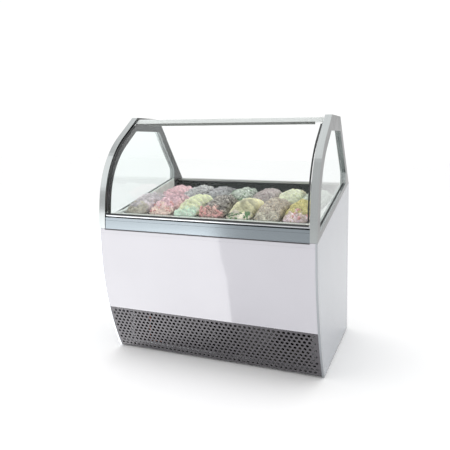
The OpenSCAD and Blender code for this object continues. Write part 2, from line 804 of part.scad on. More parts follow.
// Inlet housing: a mains socket below and the seat of the rocker above.
rock_w = 14;
rock_h = 24;
rock_z = inlet_z + 13;
rock_axis_y = panel_y - 4;
rock_pin_r = 1.5;
module power_inlet() {
  color("#1b1c1d") difference() {
    union() {
      box(inlet_x - inlet_w/2, inlet_x + inlet_w/2, panel_y - 32,
          panel_y + seat + eps, inlet_z - inlet_h/2, inlet_z + inlet_h/2);
      box(inlet_x - inlet_w/2 - 5, inlet_x + inlet_w/2 + 5, panel_y + seat,
          panel_y + 2, inlet_z - inlet_h/2 - 5, inlet_z + inlet_h/2 + 5);
    }
    box(inlet_x - 12, inlet_x + 12, panel_y - 18, panel_y + 5, inlet_z - 24,
        inlet_z - 8);
    box(inlet_x - rock_w/2 - 0.5, inlet_x + rock_w/2 + 0.5, panel_y - 20,
        panel_y + 5, rock_z - rock_h/2 - 0.8, rock_z + rock_h/2 + 0.8);
    translate([inlet_x, rock_axis_y, rock_z])
      rod_x(rock_pin_r + run_fit, rock_w + 8);
  }
}

// Rocker: a wedge on two pins, drawn with its lower half pressed in.
rock_lean = 8;
module power_switch() {
  half = rock_h/2 - 0.6;
  color("#a02a22") translate([inlet_x, rock_axis_y, rock_z])
    rotate([rock_lean, 0, 0]) {
      span_x(rock_w/2)
        polygon([[-5, -5], [-5, 5], [0, half], [3, half], [2, 0], [3, -half],
                 [0, -half]]);
      rod_x(rock_pin_r, rock_w + 6);
    }
}

// Pans, counted from the left of the front row, seen by the customer.
function pan_x(i) = (((i - 1) % pan_cols) - (pan_cols - 1)/2)*pan_pitch;
function pan_s(i) = pan_l/2 + floor((i - 1)/pan_cols)*(pan_l + row_gap);
pan_wall = 1.2;
pan_corner = 14;
module in_pan(i) {
  on_deck() translate([pan_x(i), pan_s(i), 0]) children();
}
module pan(i) {
  body_w = pan_w - 2*pan_rim;
  body_l = pan_l - 2*pan_rim;
  color("#c4c7c9") in_pan(i) difference() {
    union() {
      translate([0, 0, seat]) linear_extrude(pan_wall)
        round_rect(pan_w, pan_l, pan_corner + pan_rim);
      translate([0, 0, -pan_h]) linear_extrude(pan_h + seat + eps)
        round_rect(body_w, body_l, pan_corner);
    }
    translate([0, 0, pan_wall - pan_h]) linear_extrude(pan_h + 10)
      round_rect(body_w - 2*pan_wall, body_l - 2*pan_wall, pan_corner - pan_wall);
  }
}

// Ice cream: fills the pan and stands above it in a rounded heap.
heap_colours = ["#a79f92", "#e8a7ae", "#c9d98f", "#6e655c", "#eee6ae", "#b08f6c",
  "#e2c85a", "#e59aa6", "#b9b4ae", "#56504b", "#93b584", "#4c3f36", "#b8c47c",
  "#8fa08a"];
module gelato(i) {
  w = pan_w - 2*pan_rim - 2*pan_wall - 2*seat;
  l = pan_l - 2*pan_rim - 2*pan_wall - 2*seat;
  depth = pan_h - pan_wall - seat;
  heap_r = (w*w/4 + heap_h*heap_h)/(2*heap_h);
  color(heap_colours[(i - 1) % len(heap_colours)]) in_pan(i) intersection() {
    translate([0, 0, -depth]) linear_extrude(depth + heap_h)
      round_rect(w, l, pan_corner - pan_wall - seat);
    union() {
      translate([0, 0, -depth/2]) cube([pan_w, pan_l, depth + eps], center = true);
      translate([0, 0, heap_h - heap_r]) rod_y(heap_r, l - 40);
      for (end = [-1, 1])
        translate([0, end*(l/2 - 20 - eps), 0])
          cube([w*0.7, 40, heap_h], center = true);
    }
  }
}

side_panel_left();
side_panel_right();
edge_trims();
front_panel();
front_grille();
canopy_frame_left();
canopy_frame_right();
side_glass();
top_bar();
lamp();
front_glass();
glass_clamp();
front_rail();
well_surround();
insulated_tub();
tub_liner();
pan_supports();
evaporator();
evaporator_fan();
rear_rail();
rear_worktop();
back_panel();
base_tray();
levelling_feet();
compressor();
condenser_coil();
condenser_fan();
fan_shroud();
refrigerant_pipes();
controller();
power_switch();
power_inlet();
for (i = [1:2*pan_cols]) {
  pan(i);
  gelato(i);
}
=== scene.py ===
"""An ice cream dipping cabinet: enamelled casing, curved glass canopy and two rows of heaped pans."""
import json
import math

import bmesh
import bpy
import numpy as np
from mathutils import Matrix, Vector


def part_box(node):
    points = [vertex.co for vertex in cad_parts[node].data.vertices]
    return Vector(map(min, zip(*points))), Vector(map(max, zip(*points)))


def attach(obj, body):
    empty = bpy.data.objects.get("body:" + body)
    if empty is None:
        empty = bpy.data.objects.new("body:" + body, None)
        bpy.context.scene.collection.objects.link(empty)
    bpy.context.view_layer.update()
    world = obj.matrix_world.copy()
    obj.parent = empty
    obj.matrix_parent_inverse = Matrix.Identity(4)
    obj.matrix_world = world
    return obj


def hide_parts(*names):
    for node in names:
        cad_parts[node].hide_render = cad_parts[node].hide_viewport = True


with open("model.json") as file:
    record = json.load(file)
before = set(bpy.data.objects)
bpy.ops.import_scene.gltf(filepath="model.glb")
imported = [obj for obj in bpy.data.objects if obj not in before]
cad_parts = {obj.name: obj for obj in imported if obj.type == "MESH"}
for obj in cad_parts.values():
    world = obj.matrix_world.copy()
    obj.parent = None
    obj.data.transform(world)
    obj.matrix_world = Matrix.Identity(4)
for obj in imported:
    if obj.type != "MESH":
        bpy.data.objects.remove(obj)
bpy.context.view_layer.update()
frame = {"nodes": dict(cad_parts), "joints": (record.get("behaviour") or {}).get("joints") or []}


# ---------------------------------------------------------------------------------------------
# Camera. It stands in front of the right-hand end of the counter at shoulder height and looks a
# little down and to the left, so that both rows of pans show through the curved glass.
view = bpy.data.cameras.new("view")
view.lens = 42.48
view.shift_x = 0.0155
view.shift_y = -0.13
camera = bpy.data.objects.new("camera", view)
camera.location = (1.0657, -2.8853, 1.1863)
camera.rotation_euler = (math.radians(90 - 2.805), 0, math.radians(21.909))
bpy.context.scene.collection.objects.link(camera)
bpy.context.scene.camera = camera


# ---------------------------------------------------------------------------------------------
# Studio. A white paper floor that runs on to a white sky, one wide soft box from the left, a
# weak one from the right and one overhead. Three cards near the cabinet's front left corner show
# only as reflections, which brighten the left half of the front panel and the rail.
def paint(*shown):
    """A colour as a paint card shows it, 0 to 1, made linear: ((c + 0.055) / 1.055) to the 2.4."""
    return (*[((c + 0.055)/1.055)**2.4 for c in shown], 1.0)


def node(tree, kind, inputs=(), **settings):
    """Adds one shader node with its settings; an input that is a socket is linked, else set."""
    made = tree.nodes.new("ShaderNode" + kind)
    for key, value in settings.items():
        setattr(made, key, value)
    for key, value in dict(inputs).items():
        if isinstance(value, bpy.types.NodeSocket):
            tree.links.new(value, made.inputs[key])
        else:
            made.inputs[key].default_value = value
    return made


def surface(name, grids, material, around=(False, False), weld=False, smooth=True, values=()):
    """An object from one or more equal grids of points (rows, columns, 3). around closes a grid
    along its rows or columns; weld merges points that meet and turns the faces outwards."""
    grids = np.asarray(grids, float)
    grids = grids[None] if grids.ndim == 3 else grids
    count, rows, cols = grids.shape[:3]
    u = np.arange(rows if around[0] else rows - 1)[:, None]
    v = np.arange(cols if around[1] else cols - 1)
    up, across = (u + 1) % rows, (v + 1) % cols
    quad = np.stack([u*cols + v, u*cols + across, up*cols + across, up*cols + v], -1)
    faces = (quad.reshape(1, -1, 4) + np.arange(count)[:, None, None]*rows*cols).reshape(-1, 4)
    mesh = bpy.data.meshes.new(name)
    mesh.from_pydata(grids.reshape(-1, 3).tolist(), [], faces.tolist())
    for label, numbers in dict(values).items():
        mesh.attributes.new(label, "FLOAT", "POINT").data.foreach_set("value", numbers.ravel())
    if weld:
        shell = bmesh.new()
        shell.from_mesh(mesh)
        bmesh.ops.remove_doubles(shell, verts=shell.verts, dist=2e-6)
        bmesh.ops.recalc_face_normals(shell, faces=shell.faces)
        shell.to_mesh(mesh)
        shell.free()
    mesh.shade_smooth() if smooth else mesh.shade_flat()
    mesh.materials.append(material)
    made = bpy.data.objects.new(name, mesh)
    bpy.context.scene.collection.objects.link(made)
    return made


FLOOR_HALF = 30.0
paper = bpy.data.materials.new("floor_paper")
paper.use_nodes = True
fibres = node(paper.node_tree, "TexNoise", {"Scale": 40.0, "Detail": 4.0})
tone = node(paper.node_tree, "Mix", {"Factor": fibres.outputs["Fac"]}, data_type="RGBA")
tone.inputs[6].default_value = paint(0.985, 0.985, 0.985)
tone.inputs[7].default_value = paint(0.995, 0.995, 0.995)
paper_shader = paper.node_tree.nodes["Principled BSDF"]
paper.node_tree.links.new(tone.outputs[2], paper_shader.inputs["Base Color"])
paper_shader.inputs["Roughness"].default_value = 0.75
paper_shader.inputs["Specular IOR Level"].default_value = 0.2
edge = np.linspace(-FLOOR_HALF, FLOOR_HALF, 5)
surface("floor", np.stack([*np.meshgrid(edge, edge, indexing="ij"),
                                    np.zeros((5, 5))], -1), paper)

SKY_LIGHT = 1.03
SKY_SEEN = 1.04
sky = bpy.data.worlds.new("studio")
bpy.context.scene.world = sky
sky.use_nodes = True
ray = node(sky.node_tree, "LightPath").outputs
seen = node(sky.node_tree, "Math", {0: ray["Is Camera Ray"], 1: ray["Is Transmission Ray"]},
            operation="MAXIMUM")
level = node(sky.node_tree, "MapRange", {"Value": seen.outputs[0], "To Min": SKY_LIGHT,
                                         "To Max": SKY_SEEN})
background = sky.node_tree.nodes["Background"]
sky.node_tree.links.new(level.outputs["Result"], background.inputs["Strength"])
background.inputs["Color"].default_value = (1.0, 1.0, 1.0, 1.0)
bpy.context.scene.view_settings.view_transform = "Standard"


def soft_box(name, place, aim, size, watts, mirror_only=False, roll=0.0):
    """A rectangular lamp at place that faces aim, turned about its axis by roll degrees; a
    mirror_only one is seen by gloss alone."""
    data = bpy.data.lights.new(name, "AREA")
    data.shape = "RECTANGLE"
    data.size, data.size_y = size
    data.energy = watts
    lamp = bpy.data.objects.new(name, data)
    bpy.context.scene.collection.objects.link(lamp)
    lamp.location = place
    toward = Vector(aim) - Vector(place)
    lamp.rotation_euler = toward.to_track_quat("-Z", "Y").to_euler()
    lamp.rotation_euler.rotate_axis("Z", math.radians(roll))
    lamp.visible_camera = False
    lamp.visible_transmission = False
    lamp.visible_diffuse = not mirror_only
    return lamp


soft_box("key", (-3.2, -3.4, 3.6), (0, 0, 0.7), (3.8, 3.8), 40)
soft_box("fill", (3.6, -1.2, 2.6), (0, 0, 0.8), (2.0, 2.4), 3)
soft_box("overhead", (0, 0.3, 4.2), (0, 0, 0.9), (5.0, 4.0), 36)
CARD, CARD_AIM = (-0.897, -0.948), (-0.561, -0.006)
CARD_LENGTH, CARD_TURN = 1.5, 19.6
soft_box("panel_card", (*CARD, 0.29), (*CARD_AIM, 0.29), (CARD_LENGTH, 0.58), 6.6,
         mirror_only=True)
soft_box("floor_card", (-0.7715, -0.598, 0.004), (-0.7715, -0.598, 1), (CARD_LENGTH, 0.743), 8.5,
         mirror_only=True, roll=CARD_TURN)
soft_box("rail_card", (*CARD, 0.67), (*CARD_AIM, 0.67), (CARD_LENGTH, 0.2), 1.3,
         mirror_only=True)


# ---------------------------------------------------------------------------------------------
# Sheet-steel casing: the curved front panel, both side panels and the vented back panel. They
# are folded from 1.5 mm sheet, sprayed white or blue-grey and baked to a hard gloss.
SKIN = {"Base Color": "Color", "Roughness": "Float", "Height": "Float"}


def effect(name, inputs, outputs=SKIN):
    """An empty shader node group: a name and starting value per input, a kind per output."""
    tree = bpy.data.node_groups.new(name, "ShaderNodeTree")
    for label, value in inputs.items():
        kind = {4: "Color", 3: "Vector"}[len(value)] if isinstance(value, tuple) else "Float"
        made = tree.interface.new_socket(label, in_out="INPUT", socket_type="NodeSocket" + kind)
        made.default_value = value
    for label, kind in outputs.items():
        tree.interface.new_socket(label, in_out="OUTPUT", socket_type="NodeSocket" + kind)
    return tree, tree.nodes.new("NodeGroupInput").outputs, tree.nodes.new("NodeGroupOutput").inputs


def noise(tree, scale, detail=2.0, place=None, warp=0.0):
    """Cloudy values about 0.5, in the piece's own metres or in the vector that is given."""
    place = place or node(tree, "TexCoord").outputs["Object"]
    return node(tree, "TexNoise", {"Vector": place, "Scale": scale, "Detail": detail,
                                   "Distortion": warp}).outputs["Fac"]


def between(tree, factor, low, high):
    """A value that runs from low to high as the factor goes from 0.3 to 0.7."""
    return node(tree, "MapRange", {"Value": factor, "From Min": 0.3, "From Max": 0.7,
                                   "To Min": low, "To Max": high}).outputs["Result"]


def maths(tree, operation, first, second, clamp=False):
    """One step of arithmetic on two values."""
    return node(tree, "Math", {0: first, 1: second}, operation=operation,
                use_clamp=clamp).outputs[0]


def shade(tree, colour, factor):
    """The colour times a value."""
    return node(tree, "VectorMath", {0: colour, "Scale": factor}, operation="SCALE").outputs[0]


def mixed(tree, factor, first, second):
    """The first colour where the factor is 0 and the second where it is 1."""
    return node(tree, "Mix", {0: factor, 6: first, 7: second}, data_type="RGBA").outputs[2]


def feed(tree, ends, **values):
    """Links each value to the group's output of that name."""
    for label, value in values.items():
        tree.links.new(value, ends[label.replace("_", " ")])


def finish_of(name, *layers, bump=0.0001, **sockets):
    """A Principled material. Each layer is an effect and its inputs, and also takes what the
    layers before it put out under the same name. Other sockets take plain values."""
    made = bpy.data.materials.new(name)
    made.use_nodes = True
    tree = made.node_tree
    shader = tree.nodes["Principled BSDF"]
    so_far = {}
    for group, inputs in layers:
        look = node(tree, "Group", node_tree=group)
        for label, value in {**so_far, **inputs}.items():
            if label not in look.inputs:
                continue
            if isinstance(value, bpy.types.NodeSocket):
                tree.links.new(value, look.inputs[label])
            else:
                look.inputs[label].default_value = value
        so_far.update({out.name: out for out in look.outputs})
    if "Height" in so_far:
        relief = node(tree, "Bump", {"Height": so_far.pop("Height"), "Distance": bump})
        so_far["Normal"] = relief.outputs["Normal"]
    for label, out in so_far.items():
        tree.links.new(out, shader.inputs[label])
    for label, value in sockets.items():
        shader.inputs[label.replace("_", " ")].default_value = value
    return made


def dress(material, *names):
    """Gives CAD nodes their material."""
    for name in names:
        frame["nodes"][name].data.materials.clear()
        frame["nodes"][name].data.materials.append(material)


enamel, given, ends = effect("baked_enamel", {"Colour": (0.8, 0.8, 0.8, 1.0), "Gloss": 0.2})
peel = noise(enamel, 330.0, 1.0)
feed(enamel, ends, Height=peel,
     Base_Color=shade(enamel, given["Colour"], between(enamel, noise(enamel, 2.2), 0.975, 1.015)),
     Roughness=maths(enamel, "ADD", given["Gloss"], between(enamel, peel, -0.02, 0.05)))

front_enamel = finish_of("front_enamel", (enamel, {"Colour": paint(0.765, 0.76, 0.785),
                         "Gloss": 0.1}), bump=0.00002, Coat_Weight=0.6, Coat_Roughness=0.04)
side_enamel = finish_of("side_enamel", (enamel, {"Colour": paint(0.60, 0.615, 0.64),
                        "Gloss": 0.22}), bump=0.00003, Coat_Weight=0.3, Coat_Roughness=0.08)
dress(front_enamel, "front_panel")
dress(side_enamel, "side_panel_left", "side_panel_right", "back_panel")


# ---------------------------------------------------------------------------------------------
# Back-panel screws: eight zinc-plated pan heads, 9 mm across with a recess for the driver, that
# hold the vented panel to the casing's flanges near its top and bottom edges.
def lathe(profile, places, outward, steps=12):
    """Turned solids: the profile (radius, height) spun about the outward axis at each place."""
    axis = np.asarray(outward, float)/np.linalg.norm(outward)
    beside = np.cross(axis, (0.0, 0.0, 1.0) if abs(axis[2]) < 0.9 else (1.0, 0.0, 0.0))
    beside /= np.linalg.norm(beside)
    across = np.cross(axis, beside)
    turn = np.linspace(0, 2*np.pi, steps, endpoint=False)[:, None, None]
    radius, height = (np.asarray(c)[:, None] for c in zip(*profile))
    one = radius*(np.cos(turn)*beside + np.sin(turn)*across) + height*axis
    return np.asarray(places, float)[:, None, None, :] + one


brushed, given, ends = effect("drawn_metal", {"Colour": (0.5, 0.5, 0.5, 1.0), "Polish": 0.25,
                                              "Grain": (3.0, 500.0, 500.0)})
stretch = node(brushed, "VectorMath", {0: node(brushed, "TexCoord").outputs["Object"],
               1: given["Grain"]}, operation="MULTIPLY").outputs[0]
lines = noise(brushed, 1.0, 3.0, stretch)
feed(brushed, ends, Height=lines,
     Base_Color=shade(brushed, given["Colour"], between(brushed, lines, 0.95, 1.04)),
     Roughness=maths(brushed, "ADD", given["Polish"],
                     between(brushed, noise(brushed, 7.0, 3.0), -0.04, 0.06)))


def metal(name, colour, polish, grain=(3.0, 500.0, 500.0), bump=0.00001, **sockets):
    """A bare metal with drawn or brushed lines."""
    return finish_of(name, (brushed, {"Colour": colour, "Polish": polish, "Grain": grain}),
                     bump=bump, Metallic=1.0, **sockets)


SCREW = [(0, 0.0006), (0.0014, 0.0006), (0.0016, 0.0018), (0.0030, 0.0016), (0.0042, 0.0006),
         (0.0045, 0.0), (0, 0.0)]
zinc = metal("zinc_plate", paint(0.74, 0.75, 0.76), 0.3, (60.0, 60.0, 60.0))
panel_low, panel_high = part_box("back_panel")
SCREW_X = (-0.54, -0.19, 0.19, 0.54)
SCREW_INSET = 0.03
screw_places = [(x, panel_high.y, z) for x in SCREW_X
                for z in (panel_low.z + SCREW_INSET, panel_high.z - SCREW_INSET)]
back_screws = surface("back_panel_screws", lathe(SCREW, screw_places, (0, 1, 0)), zinc,
                      around=(True, False), weld=True)
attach(back_screws, "cabinet")


# ---------------------------------------------------------------------------------------------
# Grille: a steel sheet with the same sweep as the front, punched with staggered round holes and
# powder-coated dark grey. Dust settles in it, because the condenser draws its air through it.
dust, given, ends = effect("settled_dust", {"Base Color": (0.5, 0.5, 0.5, 1.0), "Roughness": 0.5,
                           "Amount": 0.3}, {"Base Color": "Color", "Roughness": "Float"})
facing = node(dust, "SeparateXYZ", {0: node(dust, "NewGeometry").outputs["Normal"]}).outputs["Z"]
lying = node(dust, "MapRange", {"Value": facing, "From Min": -0.2, "From Max": 1.0,
                                "To Min": 0.25, "To Max": 1.0}).outputs["Result"]
patchy = maths(dust, "MULTIPLY", between(dust, noise(dust, 26.0, 5.0), 0.2, 1.0), lying)
cover = maths(dust, "MULTIPLY", patchy, given["Amount"])
feed(dust, ends, Roughness=maths(dust, "ADD", given["Roughness"], cover, clamp=True),
     Base_Color=mixed(dust, cover, given["Base Color"], paint(0.56, 0.54, 0.5)))

dress(finish_of("grille_coat", (enamel, {"Colour": paint(0.33, 0.32, 0.34), "Gloss": 0.55}),
                (dust, {"Amount": 0.15}), bump=0.00005), "front_grille")


# ---------------------------------------------------------------------------------------------
# Canopy: two bent aluminium frames, the folded top bar between them and the trims that cover the
# panels' front edges. The frames are anodised satin silver, with painted shade that darkens their
# flat sides; the bar is sprayed pale grey.
# Painted shade: faces that point along x, the frames' flat sides, have their colour scaled down to
# the Side value.
painted_side_shade, given, ends = effect("painted_side_shade", {"Base Color": (0.5, 0.5, 0.5, 1.0), "Side": 0.5},
                               {"Base Color": "Color"})
faces = node(painted_side_shade, "SeparateXYZ", {0: node(painted_side_shade, "NewGeometry").outputs["Normal"]})
on_side = node(painted_side_shade, "MapRange", {"Value": maths(painted_side_shade, "ABSOLUTE", faces.outputs["X"], 0.0),
               "From Min": 0.8, "From Max": 0.95, "To Min": 1.0, "To Max": given["Side"]})
feed(painted_side_shade, ends, Base_Color=shade(painted_side_shade, given["Base Color"], on_side.outputs["Result"]))
anodised = finish_of("anodised_silver", (brushed, {"Colour": paint(0.64, 0.655, 0.655),
                     "Polish": 0.2, "Grain": (600.0, 5.0, 5.0)}), (painted_side_shade, {"Side": 0.22}),
                     bump=0.00001, Metallic=1.0)
dress(anodised, "canopy_frame_left", "canopy_frame_right")
dress(metal("trim_silver", paint(0.66, 0.675, 0.69), 0.32, (600.0, 5.0, 5.0)), "edge_trims")
dress(finish_of("top_bar_paint", (enamel, {"Colour": paint(0.88, 0.885, 0.88), "Gloss": 0.25}),
                bump=0.00003, Coat_Weight=0.3), "top_bar")


# ---------------------------------------------------------------------------------------------
# Lamp: an LED batten under the top bar, with a ribbed cover of grey opal plastic. It is all but
# unlit.
opal, given, ends = effect("opal_cover", {"Colour": paint(0.50, 0.51, 0.50)})
ribs = node(opal, "TexWave", {"Vector": node(opal, "TexCoord").outputs["Object"], "Scale": 160.0},
            bands_direction="Y").outputs["Fac"]
feed(opal, ends, Height=ribs, Base_Color=shade(opal, given["Colour"], between(opal, ribs, 0.96, 1)),
     Roughness=between(opal, noise(opal, 60.0), 0.4, 0.5))
dress(finish_of("lamp_cover", (opal, {}), bump=0.0001, Emission_Color=(1.0, 0.98, 0.93, 1.0),
                Emission_Strength=0.02), "lamp")


# ---------------------------------------------------------------------------------------------
# Glass: the curved front pane is 6 mm toughened float glass that tips forward with its clamp;
# the flat side panes are 5 mm and sit in the frames' grooves. Both have a faint blue-green tint,
# and the front pane is coated so that it mirrors little.
float_glass, given, ends = effect("float_glass", {"Colour": (0.9, 0.97, 0.96, 1.0)},
                                  {"Base Color": "Color", "Roughness": "Float"})
feed(float_glass, ends,
     Base_Color=shade(float_glass, given["Colour"],
                      between(float_glass, noise(float_glass, 3.0), 0.985, 1.0)),
     Roughness=between(float_glass, noise(float_glass, 9.0, 3.0), 0.0, 0.012))


def glazing(name, colour, index):
    """Glass of that refractive index, which lets light from the lamps straight through, tinted."""
    made = finish_of(name, (float_glass, {"Colour": colour}), Transmission_Weight=1.0, IOR=index)
    tree = made.node_tree
    straight = node(tree, "BsdfTransparent", {"Color": colour})
    lit = node(tree, "MixShader", {0: node(tree, "LightPath").outputs["Is Shadow Ray"],
               1: tree.nodes["Principled BSDF"].outputs[0], 2: straight.outputs[0]})
    tree.links.new(lit.outputs[0], tree.nodes["Material Output"].inputs["Surface"])
    return made


COATED, FLOAT = 1.22, 1.46
dress(glazing("front_glass", (0.975, 0.992, 0.988, 1.0), COATED), "front_glass")
dress(glazing("side_glass", (0.935, 0.98, 0.972, 1.0), FLOAT), "side_glass")


# ---------------------------------------------------------------------------------------------
# Glass clamp and seals. The clamp is a slotted aluminium tube on two hinge pins. All seals are
# black rubber: a lip on the clamp, a bead under the front rail, a band along each end of the
# curved glass, and strips that bed the side panes on their sills.
moulded, given, ends = effect("moulded_grain", {"Colour": (0.1, 0.1, 0.1, 1.0), "Matt": 0.5})
grain = noise(moulded, 700.0, 2.0)
feed(moulded, ends, Height=grain,
     Base_Color=shade(moulded, given["Colour"], between(moulded, noise(moulded, 30.0), 0.9, 1.08)),
     Roughness=maths(moulded, "ADD", given["Matt"], between(moulded, grain, -0.05, 0.08)))


def plastic(name, colour, matt, bump=0.00005, **sockets):
    """Moulded plastic or rubber."""
    return finish_of(name, (moulded, {"Colour": colour, "Matt": matt}), bump=bump, **sockets)


def capped(rings):
    """Rings (rows, columns, 3) with each end drawn in to its middle, which closes the ends."""
    ends_in = [np.broadcast_to(rings[k].mean(0), rings[k].shape)[None] for k in (0, -1)]
    return np.concatenate([ends_in[0], rings, ends_in[1]])


def along_x(outline, x0, x1):
    """A closed outline (y, z) carried straight from x0 to x1, with closed ends."""
    y, z = np.asarray(outline, float).T
    return capped(np.stack([np.stack([np.full_like(y, x), y, z], -1) for x in (x0, x1)]))


rubber = plastic("black_rubber", paint(0.16, 0.165, 0.17), 0.55)
dress(metal("clamp_silver", paint(0.72, 0.73, 0.74), 0.25), "glass_clamp")
clamp_low, clamp_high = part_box("glass_clamp")
rail_low, rail_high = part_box("front_rail")
CLAMP_R = (clamp_high.z - clamp_low.z)/2
LIP, LIP_END, LIP_GAP = 0.0011, 0.006, 0.0001
LIP_FROM, LIP_TO, LIP_STEPS = 8, 72, 14
axis_y, axis_z = (clamp_low.y + clamp_high.y)/2, (clamp_low.z + clamp_high.z)/2
angle = np.radians(np.linspace(LIP_FROM, LIP_TO, LIP_STEPS))
reach = CLAMP_R + np.repeat([LIP, LIP_GAP], LIP_STEPS)
sweep = np.concatenate([angle, angle[::-1]])
lip = surface("glass_seal", along_x(np.stack([axis_y - reach*np.cos(sweep),
              axis_z + reach*np.sin(sweep)], -1), rail_low.x + LIP_END, rail_high.x - LIP_END),
              rubber, around=(False, True), weld=True, smooth=False)
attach(lip, "canopy_glass")
BEAD = [(-0.4852, 0.7086), (-0.4868, 0.7092), (-0.4868, 0.7128), (-0.4852, 0.7134)]
bead = surface("rail_bead", along_x(BEAD, rail_low.x, rail_high.x), rubber,
               around=(False, True), weld=True, smooth=False)
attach(bead, "cabinet")

OFF = 0.0003
BAND, BAND_THICK = 0.008, 0.0012
BAND_LOW, BAND_HIGH = 0.80, 1.275
glass = np.array([v.co[:] for v in frame["nodes"]["front_glass"].data.vertices])
glass_end = glass[:, 0].max()
levels = [z for z in np.unique(glass[:, 2].round(5)) if BAND_LOW < z < BAND_HIGH]
skin = np.array([(glass[np.abs(glass[:, 2] - z) < 2e-5, 1].min(), z) for z in levels])
run = np.gradient(skin, axis=0)
outward = np.stack([-run[:, 1], run[:, 0]], -1)/np.linalg.norm(run, axis=1)[:, None]
bands = []
for side in (-1, 1):
    corners = [(glass_end - BAND, OFF), (glass_end, OFF), (glass_end, OFF + BAND_THICK),
               (glass_end - BAND, OFF + BAND_THICK)]
    rings = [np.column_stack([np.full(len(skin), side*x), skin + off*outward])
             for x, off in corners]
    bands.append(capped(np.stack(rings, 1)))
band = surface("glass_edge_bands", bands, rubber, around=(False, True), weld=True, smooth=False)
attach(band, "canopy_glass")

SILL_FRONT = (-0.422, 0.7607)
SILL_BACK = (0.345, 0.9267)
PANE_X = 0.572
BESIDE_PANE = 0.0027
STRIP = 0.003
strips = []
for side in (-1, 1):
    for face in (-1, 1):
        x = side*PANE_X + face*(BESIDE_PANE + STRIP/2)
        around_x = x + np.array([-1, 1, 1, -1])*STRIP/2
        lift = np.array([OFF, OFF, OFF + STRIP, OFF + STRIP])
        rings = [np.stack([around_x, np.full(4, y), z + lift], -1)
                 for y, z in (SILL_FRONT, SILL_BACK)]
        strips.append(capped(np.stack(rings)))
sill_seals = surface("side_glass_seals", strips, rubber, around=(False, True), weld=True,
                     smooth=False)
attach(sill_seals, "cabinet")


# ---------------------------------------------------------------------------------------------
# Front rail: an extruded aluminium bumper with a groove along it, anodised satin. The sloping
# rear rail behind the pans is dark grey, with a pale steel worktop behind it.
dress(metal("rail_silver", paint(0.51, 0.54, 0.56), 0.22), "front_rail")
dress(metal("rear_rail_grey", paint(0.16, 0.175, 0.17), 0.3), "rear_rail")
dress(metal("worktop_steel", paint(0.66, 0.67, 0.66), 0.3), "rear_worktop")


# ---------------------------------------------------------------------------------------------
# Well: a white vacuum-formed surround, a stainless liner and supports under the pans' rims, and
# a tub of foam. White linings cover the frames' sills inside the side panes: a cap on top and a
# cheek that hangs from it down to the deck.
lift_axis = next(j["axis"] for j in frame["joints"] if j["name"] == "pan_1_lift")
fall, rise = -lift_axis[1], lift_axis[2]


def on_deck(across, along, above):
    """Points in the row frame from distances across, along and above the pans' slope."""
    return np.stack([across, along*rise - above*fall, along*fall + above*rise], -1)


white_plastic = plastic("surround_white", paint(0.88, 0.905, 0.88), 0.28, Coat_Weight=0.2)
dress(white_plastic, "well_surround")
LINING = 0.0012
LINING_X, CAP_EDGE = 0.5525, 0.0060
DECK = 0.8197
# The cheek's front and back ends: how far along the slope, and the level of its top, as for DECK.
CHEEK = [(-0.148, 0.8200), (0.422, 0.8922)]
linings = []
for side in (-1, 1):
    cap_x = side*np.array([LINING_X, PANE_X - CAP_EDGE, PANE_X - CAP_EDGE, LINING_X])
    lift = np.array([OFF, OFF, OFF + LINING, OFF + LINING])
    linings.append(capped(np.stack([np.stack([cap_x, np.full(4, y), z + lift], -1)
                                    for y, z in (SILL_FRONT, SILL_BACK)])))
    cheek_x = side*np.array([LINING_X, LINING_X + LINING, LINING_X + LINING, LINING_X])
    linings.append(capped(np.stack([
        on_deck(cheek_x, np.full(4, along), np.array([DECK, DECK, top, top]))
        for along, top in CHEEK])))
lining = surface("sill_linings", linings, white_plastic, around=(False, True), weld=True,
                 smooth=False)
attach(lining, "cabinet")
dress(metal("liner_steel", paint(0.72, 0.73, 0.73), 0.28), "tub_liner", "pan_supports")
foam, given, ends = effect("cell_foam", {"Colour": (0.8, 0.8, 0.7, 1.0)})
cells = node(foam, "TexVoronoi", {"Vector": node(foam, "TexCoord").outputs["Object"],
             "Scale": 240.0}).outputs["Distance"]
feed(foam, ends, Height=cells, Roughness=between(foam, cells, 0.8, 0.95),
     Base_Color=shade(foam, given["Colour"], between(foam, noise(foam, 14.0), 0.9, 1.05)))
dress(finish_of("tub_foam", (foam, {"Colour": paint(0.90, 0.88, 0.78)}), bump=0.0004),
      "insulated_tub")


# ---------------------------------------------------------------------------------------------
# Pans: fourteen five-litre pans, deep-drawn in 1.2 mm stainless steel with a flat rim, in two
# rows of seven. Each lifts straight out of the sloping well.
PAN_COUNT = 14
dress(metal("pan_steel", paint(0.66, 0.67, 0.67), 0.24, (90.0, 90.0, 90.0), bump=0.00002),
      *[f"pan_{i}" for i in range(1, PAN_COUNT + 1)])


# ---------------------------------------------------------------------------------------------
# Ice cream: each pan is heaped well above its rim and worked with a spatula into folds. A heap
# has its own body, a second flavour at the customer's end, veins and flecks. Its colour carries
# painted shade in the folds and on the walls inside the pan, and painted highlights on the crests.
def deck_box(name):
    """The lowest and highest corners of a CAD node across, along and above the pans' slope."""
    mesh = frame["nodes"][name].data
    co = np.empty(len(mesh.vertices)*3)
    mesh.vertices.foreach_get("co", co)
    x, y, z = co.reshape(-1, 3).T
    turned = np.stack([x, y*rise + z*fall, z*rise - y*fall], -1)
    return turned.min(0), turned.max(0)


def lumps(x, y, size, seed):
    """Smooth random heights from -1 to 1, one hill for each size: a lattice of random numbers,
    eased between its points by 3t^2 - 2t^3."""
    table = np.random.default_rng(seed).uniform(-1, 1, (64, 64))
    gx, gy = np.broadcast_arrays(x/size + 32, y/size + 32)
    ix, iy = np.floor(gx).astype(int), np.floor(gy).astype(int)
    tx, ty = gx - ix, gy - iy
    tx, ty = tx*tx*(3 - 2*tx), ty*ty*(3 - 2*ty)
    west = table[ix % 64, iy % 64]*(1 - ty) + table[ix % 64, (iy + 1) % 64]*ty
    east = table[(ix + 1) % 64, iy % 64]*(1 - ty) + table[(ix + 1) % 64, (iy + 1) % 64]*ty
    return west*(1 - tx) + east*tx


